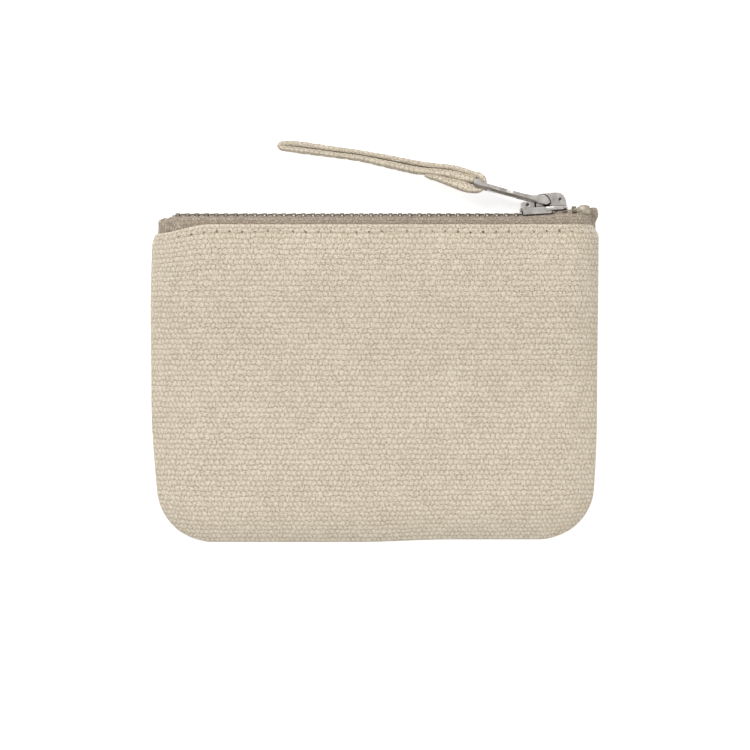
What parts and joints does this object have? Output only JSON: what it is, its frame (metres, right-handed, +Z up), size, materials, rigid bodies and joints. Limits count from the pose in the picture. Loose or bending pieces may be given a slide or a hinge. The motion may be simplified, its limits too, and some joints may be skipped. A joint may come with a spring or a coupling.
{
  "type": "zip pouch",
  "caption": "Small flat canvas zip pouch with rounded bottom corners, metal zip across the top, auto-lock slider and folded canvas pull strap.",
  "frame": {"origin": "centre of the flat resting area of the back panel, on the surface the pouch lies on", "axes": "+X along the zip towards its closed end, +Y across the pouch from the bottom seam to the zip, +Z up from the surface through the front panel"},
  "size_m": [0.1213, 0.1087, 0.013],
  "materials": {
    "canvas": "natural undyed cotton canvas, plain weave, matte",
    "zip_tape": "woven taupe zip tape, matte",
    "thread": "spun polyester sewing thread",
    "zip_metal": "satin silver teeth",
    "slider_metal": "die-cast, brushed nickel tone",
    "spring_steel": "thin spring strip"
  },
  "bodies": {
    "bag": {"back_panel": "canvas", "back_zip_tape": "zip_tape", "back_tape_bead": "zip_tape", "back_teeth": "zip_metal", "back_top_stop": "zip_metal", "zip_end_bartack": "thread", "back_topstitching": "thread", "seam_bobbin_thread": "thread"},
    "front_lip": {"front_panel": "canvas", "front_zip_tape": "zip_tape", "front_tape_bead": "zip_tape", "front_teeth": "zip_metal", "front_top_stop": "zip_metal", "front_topstitching": "thread", "seam_needle_thread": "thread"},
    "slider": {"slider_body": "slider_metal", "slider_cap": "slider_metal", "lock_spring": "spring_steel"},
    "puller": {"puller": "slider_metal"},
    "strap": {"pull_strap": "canvas", "strap_stitching": "thread"}
  },
  "joints": [
    {"name": "slider_slide", "type": "slide", "parent": "bag", "child": "slider", "axis": [-1, -0.0049, 0], "range_m": [0, 0.091], "deforming": ["front_zip_tape", "back_zip_tape", "front_tape_bead", "back_tape_bead", "front_teeth", "back_teeth"]},
    {"name": "mouth_open", "type": "hinge", "parent": "bag", "child": "front_lip", "pos_m": [0, -0.0446, 0.003], "axis": [1, 0, 0], "range_deg": [0, 10.2]},
    {"name": "puller_swing", "type": "hinge", "parent": "slider", "child": "puller", "pos_m": [0.04602, 0.04723, 0.00642], "axis": [0, 0, -1], "range_deg": [-5, 120]},
    {"name": "strap_swing", "type": "hinge", "parent": "puller", "child": "strap", "pos_m": [0.02752, 0.05219, 0.00642], "axis": [0, 0, -1], "range_deg": [-8, 45]}
  ],
  "couplings": [
    {"joint": "mouth_open", "follows": "slider_slide", "rad_per_m": 1.9179}
  ]
}
